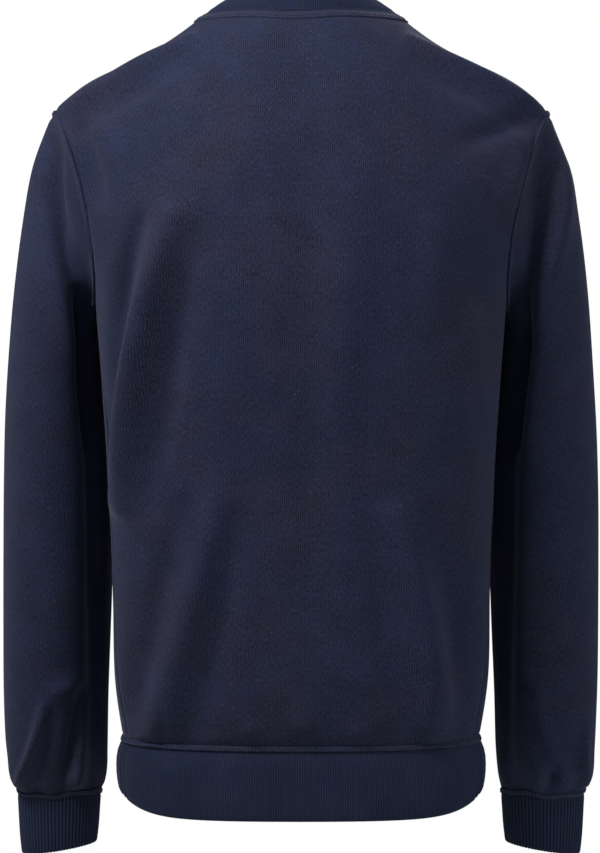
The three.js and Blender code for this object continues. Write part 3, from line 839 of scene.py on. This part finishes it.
class SWEATSHIRT_OT_sleeves(bpy.types.Operator):
    """Set-in sleeves, left and right"""
    bl_idname = "sweatshirt.sleeves"
    bl_label = "Sleeves"

    def execute(self, context):
        strength = context.scene.sweatshirt_cloth.fold_strength
        for name, sense, seed in (("sleeve_left", 1, 21), ("sleeve_right", -1, 34)):
            grid, along, turn = sleeve_grid(sense)
            x, z = grid[:, :, 0], grid[:, :, 2]
            bow = np.sin(np.radians(turn))[None, :]
            height = fold_height(name + " back", x, z) * np.clip(bow * 1.4, 0, 1)
            height += fold_height(name + " front", x, z) * np.clip(-bow * 1.4, 0, 1)
            height += soft_unevenness(x * sense + grid[:, :, 1], z, seed)
            height += cuff_gathers(along, turn, seed)
            ends = np.clip(along / 12, 0, 1) * np.clip((SLEEVE_LENGTH - along) / 6, 0, 1)
            clear = np.clip((np.abs(x) - body_half_width(grid[:, :, 1], z) - 2) / 6, 0, 1)
            height *= ends[:, None] * strength * np.where(height > 0, clear, 1)
            middle_line = grid.mean(axis=1, keepdims=True)
            piece = cloth_piece(name + "_cloth", name, grid, True, middle_line, "jersey", height)
        return {"FINISHED"}


def cuff_gathers(along, turn, seed):
    """Shallow gathers where a sleeve is eased into its cuff, uneven in depth and spacing."""
    random = np.random.default_rng(seed)
    angle = np.radians(turn)[None, :]
    reach = np.exp(-((SLEEVE_LENGTH - 12 - along) / 26.0) ** 2)[:, None]
    total = np.zeros((len(along), len(turn)))
    for waves in (5, 8, 11):
        total += np.sin(angle * waves + random.uniform(0, 6.28) + 0.01 * along[:, None]) * 6 / waves
    return total * reach


class SWEATSHIRT_OT_ribbing(bpy.types.Operator):
    """Neckband, hem band and cuffs, folded double, with their ribs"""
    bl_idname = "sweatshirt.ribbing"
    bl_label = "Ribbing"

    def execute(self, context):
        self.neckband()
        self.hem_band(BACK, (0.40, 0.06), 0.0238)
        self.hem_band(FRONT, (0.62, 0.06), 0.037)
        for name, sense in (("left", 1), ("right", -1)):
            self.cuff(name, sense)
        return {"FINISHED"}

    @staticmethod
    def band(name, node, grid, closed, middle, flat, area, relief=1.0, spread=1.0):
        """A band whose ribs run straight down it, a whole number of them on a ring."""
        cloth = bpy.context.scene.sweatshirt_cloth
        pitch, depth = cloth.rib_pitch / MM, cloth.rib_depth / MM * relief
        flat_x, _ = arc_lengths(grid, closed)
        width = flat_x[0, -1] - flat_x[0, 0]
        count = round(width / (pitch * spread))
        place = (flat_x - flat_x[:, :1]) / (flat_x[:, -1:] - flat_x[:, :1]) * count
        rib_height = depth * (np.abs(np.cos(np.pi * place)) ** 0.7 - 0.5)
        piece = cloth_piece(name, node, grid, closed, middle, "rib", np.zeros_like(flat_x), rib_height,
                            free_edge=True, grain_x=place * pitch)

    @staticmethod
    def points_along(length):
        pitch = bpy.context.scene.sweatshirt_cloth.rib_pitch / MM
        return int(round(length / pitch)) * RIB_POINTS

    @staticmethod
    def rounded_edge(down, height):
        """How far a band's folded edge turns in near its end."""
        near = np.clip((down - (height - 3.0)) / 3.0, 0, 1)
        return 1 - np.sqrt(np.maximum(1 - near ** 2, 0))

    def neckband(self):
        ring = neck_ring(self.points_along(520) // 4 * 4)
        inward = -ring - np.array([0, 14, 0])
        inward[:, 2] = 0
        inward /= np.linalg.norm(inward, axis=1, keepdims=True)
        end = np.where(ring[:, 1] > 0, NECKBAND_LEAN["back"], NECKBAND_LEAN["front"])
        lean = np.radians(mix(end, NECKBAND_LEAN["side"], np.abs(inward[:, 0]) ** 2))
        heights = np.array([0, 0.5, 1.2, 2.4, 5, 8, 11, 14, 17, 19, 20.3, 21.2, 21.8, NECKBAND_HEIGHT])
        rows = []
        for height in heights:
            roll = self.rounded_edge(height, NECKBAND_HEIGHT)
            point = ring + inward * (height * np.sin(lean) + roll * 1.1)[:, None]
            point[:, 2] += height * np.cos(lean)
            rows.append(point)
        self.band("neckband_rib", "neckband", np.array(rows), True, (0, -14, -10), (0.50, 0.023), 0.0112)

    def hem_band(self, side, flat, area):
        count = self.points_along(430 if side.facing > 0 else 600) // 2
        share = np.linspace(0, 1, count)
        down = np.array([0, 0.5, 1.2, 2.5, 7, 14, 22, 31, 40, 48, 54, 57, 58.6, 59.5, HEM_DEPTH])
        shape = table_at(HEM_NAMES, HEM_ROWS, down)
        rows = []
        for k, drop in enumerate(down):
            ring = table_at(BODY_NAMES, BODY_ROWS, HEM_SEAM_Z)
            seam = ring["seam_angle"]
            angle = share * seam if side.facing > 0 else 180 - share * (180 - seam)
            roll = self.rounded_edge(drop, HEM_DEPTH) * 1.2
            ring["half_width"] = ring["half_width"] + shape["wider"][k] - roll
            ring["back"] = ring["back"] + shape["deeper"][k] - roll
            ring["front"] = ring["front"] + shape["deeper"][k] - roll
            ring["z"] = HEM_SEAM_Z
            row = whole_row(ring_point(ring, angle))
            row[:, 2] -= drop * (1 - HEM_CORNER_LIFT * np.abs(row[:, 0] / ring["half_width"]) ** 8)
            rows.append(row)
        middle = (0, 0, HEM_SEAM_Z - HEM_DEPTH / 2)
        self.band(f"hem_band_{side.name}_rib", f"hem_band_{side.name}", np.array(rows), False, middle, flat, area,
                  HEM_RELIEF)

    def cuff(self, name, sense):
        count = self.points_along(212)
        turn = 180 - 360 * np.arange(count) / count
        seam = sleeve_ring(SLEEVE_LENGTH, turn)
        seam[:, 0] *= sense
        middle = seam.mean(axis=0)
        down = np.array([0, 0.5, 1.2, 2.5, 7, 14, 22, 31, 40, 47, 52, 54.5, 56, 56.7, CUFF_DEPTH])
        shape = table_at(CUFF_NAMES, CUFF_ROWS, down)
        rows = []
        for k, drop in enumerate(down):
            scale = shape["scale"][k] - self.rounded_edge(drop, CUFF_DEPTH) * 0.03
            ring = (seam - middle) * scale + middle
            lift = mix(CUFF_LIFT["inner"], CUFF_LIFT["outer"], (1 + np.cos(np.radians(turn))) / 2)
            ring[:, 2] = seam[:, 2] - drop * (1 - lift) - cuff_seam_wave(turn) * drop / CUFF_DEPTH
            rows.append(ring)
        self.band(f"cuff_{name}_rib", f"cuff_{name}", np.array(rows), True, middle - [0, 0, 28], (0.205, 0.058),
                  0.0117, CUFF_RELIEF, CUFF_RIB_SPREAD)


# ---------------------------------------------------------------- covered seams and their stitches

def path_frame(path, outward, closed):
    """Tangent, outward and sideways directions along a seam."""
    if closed:
        tangent = np.roll(path, -1, axis=0) - np.roll(path, 1, axis=0)
    else:
        tangent = np.gradient(path, axis=0)
    tangent /= np.linalg.norm(tangent, axis=1, keepdims=True)
    outward = outward - tangent * (outward * tangent).sum(axis=1, keepdims=True)
    outward /= np.linalg.norm(outward, axis=1, keepdims=True)
    return tangent, outward, np.cross(tangent, outward)


# A covered seam across its width: where, as a share of half its width, and how high, as a share of its height.
SEAM_SECTION = [(-1, -0.9), (-1, 0.1), (-0.86, 0.62), (-0.62, 0.86), (-0.42, 0.62), (-0.2, 0.86), (0, 0.95),
                (0.2, 0.86), (0.42, 0.62), (0.62, 0.86), (0.86, 0.62), (1, 0.1), (1, -0.9)]


def seam_strip(name, path, outward, closed, width, height):
    """The raised, flat ridge of a covered seam."""
    tangent, outward, sideways = path_frame(path, outward, closed)
    section = np.array(SEAM_SECTION)
    grid = np.stack([
        path + sideways * (place * width / 2) + outward * (rise * height) for place, rise in section
    ], axis=0)
    rows, columns = grid.shape[:2]
    index = np.arange(rows * columns).reshape(rows, columns)
    left = index if closed else index[:, :-1]
    right = np.roll(index, -1, axis=1) if closed else index[:, 1:]
    below, above = left, np.roll(left, -1, axis=0)
    faces = np.stack([below, right, np.roll(right, -1, axis=0), above], axis=-1).reshape(-1, 4).tolist()
    if not closed:
        faces += [index[:, 0].tolist(), index[::-1, -1].tolist()]
    mesh = bpy.data.meshes.new(name)
    mesh.from_pydata((grid.reshape(-1, 3) * MM).tolist(), [], faces)
    step = np.concatenate([[0], np.cumsum(np.linalg.norm(np.diff(path, axis=0), axis=1))])
    u = np.tile(step, rows) * MM
    v = np.repeat(section[:, 0] * width / 2, columns) * MM
    set_grain(mesh, at_corners(mesh, np.stack([u, v], axis=-1)))
    shape = bmesh.new()
    shape.from_mesh(mesh)
    bmesh.ops.recalc_face_normals(shape, faces=shape.faces)
    shape.to_mesh(mesh)
    shape.free()
    return finish_piece(name, mesh, None, CLOTH["jersey"])


STITCH_NODES = {
    "given": "NodeGroupInput", "result": "NodeGroupOutput", "curve": "GeometryNodeMeshToCurve",
    "spaced": "GeometryNodeResampleCurve", "outward": "GeometryNodeInputNamedAttribute",
    "tangent": "GeometryNodeInputTangent", "upright": "FunctionNodeAlignRotationToVector",
    "along": "FunctionNodeAlignRotationToVector", "slanted": "FunctionNodeRotateRotation",
    "turn": "ShaderNodeCombineXYZ", "stitch": "GeometryNodeMeshUVSphere", "size": "ShaderNodeCombineXYZ",
    "lay": "GeometryNodeInstanceOnPoints", "real": "GeometryNodeRealizeInstances", "paint": "GeometryNodeSetMaterial",
}
STITCH_LINKS = [
    ("given", "Line", "curve", "Mesh"), ("curve", 0, "spaced", "Curve"), ("given", "Pitch", "spaced", "Length"),
    ("outward", 0, "upright", "Vector"), ("upright", 0, "along", "Rotation"), ("tangent", 0, "along", "Vector"),
    ("given", "Slant", "turn", "Z"), ("along", 0, "slanted", "Rotation"), ("turn", 0, "slanted", "Rotate By"),
    ("given", "Length", "size", "X"), ("given", "Width", "size", "Y"), ("given", "Width", "size", "Z"),
    ("spaced", 0, "lay", "Points"), ("stitch", 0, "lay", "Instance"), ("slanted", 0, "lay", "Rotation"),
    ("size", 0, "lay", "Scale"), ("lay", 0, "real", "Geometry"), ("real", 0, "paint", "Geometry"),
    ("given", "Thread", "paint", "Material"), ("paint", 0, "result", "Stitches"),
]


def stitch_tree():
    """Geometry nodes that lay stitches along a line whose points know which way is out of the cloth."""
    tree = bpy.data.node_groups.new("stitches along a seam", "GeometryNodeTree")
    sockets = [("Line", "INPUT", "Geometry"), ("Thread", "INPUT", "Material"), ("Stitches", "OUTPUT", "Geometry")]
    sockets += [(name, "INPUT", "Float") for name in ("Pitch", "Length", "Width", "Slant")]
    for name, side, kind in sockets:
        tree.interface.new_socket(name=name, in_out=side, socket_type="NodeSocket" + kind)
    node = {name: tree.nodes.new(kind) for name, kind in STITCH_NODES.items()}
    node["spaced"].mode = "LENGTH"
    node["outward"].data_type = "FLOAT_VECTOR"
    node["outward"].inputs["Name"].default_value = "outward"
    node["upright"].axis = "Z"
    node["along"].axis, node["along"].pivot_axis = "X", "Z"
    node["slanted"].rotation_space = "LOCAL"
    for name, value in (("Segments", 6), ("Rings", 5), ("Radius", 0.5)):
        node["stitch"].inputs[name].default_value = value
    for start, output, end, entry in STITCH_LINKS:
        tree.links.new(node[start].outputs[output], node[end].inputs[entry])
    return tree


def stitches(name, lines, tree, pitch, length, width, slant):
    """One mesh of stitches along several lines, each a (path, outward, closed) in millimetres."""
    points, edges, outs = [], [], []
    for path, outward, closed in lines:
        start = len(points)
        points += (path * MM).tolist()
        outs += outward.tolist()
        edges += [(start + k, start + k + 1) for k in range(len(path) - 1)]
        if closed:
            edges.append((start + len(path) - 1, start))
    mesh = bpy.data.meshes.new(name + " line")
    mesh.from_pydata(points, edges, [])
    attribute = mesh.attributes.new("outward", "FLOAT_VECTOR", "POINT")
    attribute.data.foreach_set("vector", np.array(outs, dtype=float).ravel())
    carrier = bpy.data.objects.new(name + " line", mesh)
    bpy.context.scene.collection.objects.link(carrier)
    modifier = carrier.modifiers.new("stitches", "NODES")
    modifier.node_group = tree
    given = {"Pitch": pitch, "Length": length, "Width": width, "Slant": slant, "Thread": material("sewing thread")}
    for socket in tree.interface.items_tree:
        if socket.in_out == "INPUT" and socket.name in given:
            modifier[socket.identifier] = given[socket.name]
    bpy.context.view_layer.update()
    graph = bpy.context.evaluated_depsgraph_get()
    made = bpy.data.meshes.new_from_object(carrier.evaluated_get(graph))
    bpy.data.objects.remove(carrier)
    if not made.polygons:
        raise RuntimeError("no stitches were laid on " + name)
    made.name = name
    smooth_shaded(made)
    return finish_piece(name, made, None, "sewing thread")


def cloth_surface():
    """The finished cloth, to find the nearest place on it. In metres."""
    points, faces = [], []
    for piece in bpy.context.scene.objects:
        if piece.name.endswith(("_body", "_cloth", "_rib")):
            start = len(points)
            points += [vertex.co for vertex in piece.data.vertices]
            faces += [[start + index for index in polygon.vertices] for polygon in piece.data.polygons]
    return BVHTree.FromPolygons(points, faces)


def nearest(surface, points):
    """The nearest places on the cloth and which way is out there, in millimetres."""
    found = [surface.find_nearest(Vector(point * MM)) for point in points]
    return np.array([hit[0] for hit in found]) / MM, np.array([hit[1] for hit in found])


def smooth_round(values, passes):
    for _ in range(passes):
        values = (np.roll(values, 1, axis=0) + 2 * values + np.roll(values, -1, axis=0)) / 4
    return values


def laid_on_seam(surface, path, across):
    """A seam's line at the level of the cloth on both sides of it, and which way is out of the cloth there."""
    below, out_below = nearest(surface, path - across * 3)
    above, out_above = nearest(surface, path + across * 3)
    outward = out_below + out_above
    outward[:, 2] += 0.05
    outward = smooth_round(outward / np.linalg.norm(outward, axis=1, keepdims=True), 90)
    rise = (((below + above) / 2 - path) * outward).sum(axis=1, keepdims=True)
    return path + outward * smooth_round(np.clip(rise, -1, 2.5), 8), outward


def seam_paths():
    """Each covered seam's line, and a direction across it."""
    paths = {}
    turn = 180 - 360 * np.arange(360) / 360
    for name, sense in (("left", 1), ("right", -1)):
        flip = np.array([sense, 1, 1])
        for seam, along, beside in (("armhole_", 0.0, 5.0), ("cuff_", SLEEVE_LENGTH, SLEEVE_LENGTH - 5.0)):
            path = sleeve_ring(along, turn)
            across = sleeve_ring(beside, turn) - path
            across /= np.linalg.norm(across, axis=1, keepdims=True)
            paths[seam + name] = (path * flip, across * flip)
    ring = table_at(BODY_NAMES, BODY_ROWS, HEM_SEAM_Z)
    angle = np.linspace(0, 360, 620, endpoint=False)
    path = ring_point(ring, np.where(angle <= 180, angle, 360 - angle))
    path[:, 0] *= np.where(angle <= 180, 1, -1)
    paths["hem"] = (path, np.tile([0.0, 0.0, 1.0], (len(path), 1)))
    return paths


class SWEATSHIRT_OT_seams(bpy.types.Operator):
    """Covered seams at the armholes, neck, hem and cuffs, with their stitches"""
    bl_idname = "sweatshirt.seams"
    bl_label = "Seams and stitches"

    def execute(self, context):
        cloth = context.scene.sweatshirt_cloth
        width, height = cloth.seam_width / MM, cloth.seam_height / MM
        tree = stitch_tree()
        surface = cloth_surface()
        for name, (path, across) in seam_paths().items():
            path, outward = laid_on_seam(surface, path, across)
            seam_strip(name + "_seam", path, outward, True, width, height)
            _, out, sideways = path_frame(path, outward, True)
            lines = [(path + sideways * (place * width / 2) + out * (height * 0.72), out, True)
                     for place in (-0.42, 0.42)]
            stitches(name + "_stitches", lines, tree, cloth.stitch_pitch, cloth.stitch_pitch * 0.78,
                     cloth.stitch_width, 0.0)
        self.neck_seam(tree, surface, height)
        return {"FINISHED"}

    @staticmethod
    def neck_seam(tree, surface, height):
        """The wider covered seam that lies on the body, just under the neckband."""
        cloth = bpy.context.scene.sweatshirt_cloth
        width = cloth.neck_seam_width / MM
        ring = neck_ring(400)
        down = ring + np.array([0, 10, 0])
        down[:, 2] = 0
        down /= np.linalg.norm(down, axis=1, keepdims=True)
        down = down * 0.72 - np.array([0, 0, 0.69])
        path, outward = nearest(surface, ring + down * (width / 2 + 0.5))
        outward = smooth_round(outward, 20)
        path = smooth_round(path, 20)
        seam_strip("neck_seam", path, outward, True, width, height)
        _, out, sideways = path_frame(path, outward, True)
        edge_lines = [(path + sideways * (place * width / 2) + out * (height * 0.8), out, True)
                      for place in (-0.8, 0.8)]
        stitches("neck_edge_stitches", edge_lines, tree, cloth.stitch_pitch, cloth.stitch_pitch * 0.7,
                 cloth.stitch_width, 0.0)
        middle = [(path + out * (height * 0.9), out, True)]
        stitches("neck_cover_stitches", middle, tree, cloth.stitch_pitch * 1.5, cloth.neck_seam_width * 0.52,
                 cloth.stitch_width * 1.7, 0.95)


# ---------------------------------------------------------------- stage

class SWEATSHIRT_OT_stage(bpy.types.Operator):
    """Pale floor, soft studio light and the camera behind the garment"""
    bl_idname = "sweatshirt.stage"
    bl_label = "Stage"

    def execute(self, context):
        scene = context.scene
        stage = scene.sweatshirt_stage
        self.floor(stage.floor_drop)
        self.backdrop(scene)
        centre = Vector((0, 0, -stage.camera_drop))
        for name, place, size, power in (
            ("key softbox", (0.95, 0.72, 0.92), 0.4, 26.0),
            ("overhead softbox", (0.2, 1.0, 1.5), 0.9, 4.0),
            ("right softbox", (-1.9, 1.5, 0.55), 1.1, 22.0),
            ("left softbox", (2.1, 1.2, 0.1), 1.0, 4.0),
            ("front softbox", (-0.6, -2.2, 0.9), 1.6, 18.0),
        ):
            self.light(name, Vector(place), centre, size, power)
        self.camera(scene, stage)
        return {"FINISHED"}

    @staticmethod
    def floor(drop):
        reach = 3.2
        mesh = bpy.data.meshes.new("floor")
        corners = [(-reach, -reach, -drop), (reach, -reach, -drop), (reach, reach, -drop), (-reach, reach, -drop)]
        mesh.from_pydata(corners, [], [(0, 1, 2, 3)])
        floor = bpy.data.objects.new("floor", mesh)
        bpy.context.scene.collection.objects.link(floor)
        shader = Shader("pale floor")
        place = shader.add("ShaderNodeTexCoord", {}, {}, output=3)
        cloudy = shader.noise(place, 2.0)
        shader.set(Base_Color=(0.86, 0.86, 0.86, 1), Roughness=cloudy * 0.1 + 0.7)
        mesh.materials.append(shader.material)

    @staticmethod
    def backdrop(scene):
        """White all round for the camera, and softer as a light."""
        world = bpy.data.worlds.new("studio")
        world.use_nodes = True
        scene.world = world
        nodes, link = world.node_tree.nodes, world.node_tree.links.new
        nodes.clear()
        seen, lit = nodes.new("ShaderNodeBackground"), nodes.new("ShaderNodeBackground")
        seen.inputs["Color"].default_value = (1, 1, 1, 1)
        lit.inputs["Color"].default_value = (0.93, 0.96, 1, 1)
        lit.inputs["Strength"].default_value = 0.075
        rays, share = nodes.new("ShaderNodeLightPath"), nodes.new("ShaderNodeMixShader")
        out = nodes.new("ShaderNodeOutputWorld")
        link(rays.outputs["Is Camera Ray"], share.inputs[0])
        link(lit.outputs[0], share.inputs[1])
        link(seen.outputs[0], share.inputs[2])
        link(share.outputs[0], out.inputs["Surface"])
        scene.view_settings.view_transform = "Standard"

    @staticmethod
    def light(name, place, target, size, power):
        data = bpy.data.lights.new(name, "AREA")
        data.shape, data.size, data.energy = "SQUARE", size, power
        lamp = bpy.data.objects.new(name, data)
        lamp.location = place
        lamp.rotation_euler = (target - place).to_track_quat("-Z", "Y").to_euler()
        lamp.visible_camera = False
        bpy.context.scene.collection.objects.link(lamp)

    @staticmethod
    def camera(scene, stage):
        data = bpy.data.cameras.new("camera")
        data.sensor_fit = "VERTICAL"
        data.sensor_height = 36.0
        data.lens = data.sensor_height * stage.camera_distance / stage.view_height
        camera = bpy.data.objects.new("camera", data)
        camera.location = (0.0009, stage.camera_distance, -stage.camera_drop)
        camera.rotation_euler = (math.radians(90), 0, math.radians(180))
        scene.collection.objects.link(camera)
        scene.camera = camera


class SWEATSHIRT_PT_panel(bpy.types.Panel):
    """Sizes, colours and the steps that build the sweatshirt"""
    bl_idname = "SWEATSHIRT_PT_panel"
    bl_label = "Crewneck sweatshirt"
    bl_space_type = "VIEW_3D"
    bl_region_type = "UI"
    bl_category = "Sweatshirt"

    def draw(self, context):
        layout = self.layout
        for group in GROUPS:
            box = layout.box()
            for name in GROUPS[group].__annotations__:
                box.prop(getattr(context.scene, group), name)
        for step in STEPS:
            layout.operator(step.bl_idname)


STEPS = (SWEATSHIRT_OT_body, SWEATSHIRT_OT_sleeves, SWEATSHIRT_OT_ribbing, SWEATSHIRT_OT_seams, SWEATSHIRT_OT_stage)
GROUPS = {"sweatshirt_cloth": SweatshirtCloth, "sweatshirt_colours": SweatshirtColours,
          "sweatshirt_stage": SweatshirtStage}


def register():
    for kind in (*GROUPS.values(), *STEPS, SWEATSHIRT_PT_panel):
        bpy.utils.register_class(kind)
    for name, kind in GROUPS.items():
        setattr(bpy.types.Scene, name, bpy.props.PointerProperty(type=kind))


def unregister():
    for name in GROUPS:
        delattr(bpy.types.Scene, name)
    for kind in reversed((*GROUPS.values(), *STEPS, SWEATSHIRT_PT_panel)):
        bpy.utils.unregister_class(kind)


def main():
    register()
    bpy.ops.sweatshirt.body()
    bpy.ops.sweatshirt.sleeves()
    bpy.ops.sweatshirt.ribbing()
    bpy.ops.sweatshirt.seams()
    bpy.ops.sweatshirt.stage()


if __name__ == "__main__":
    main()
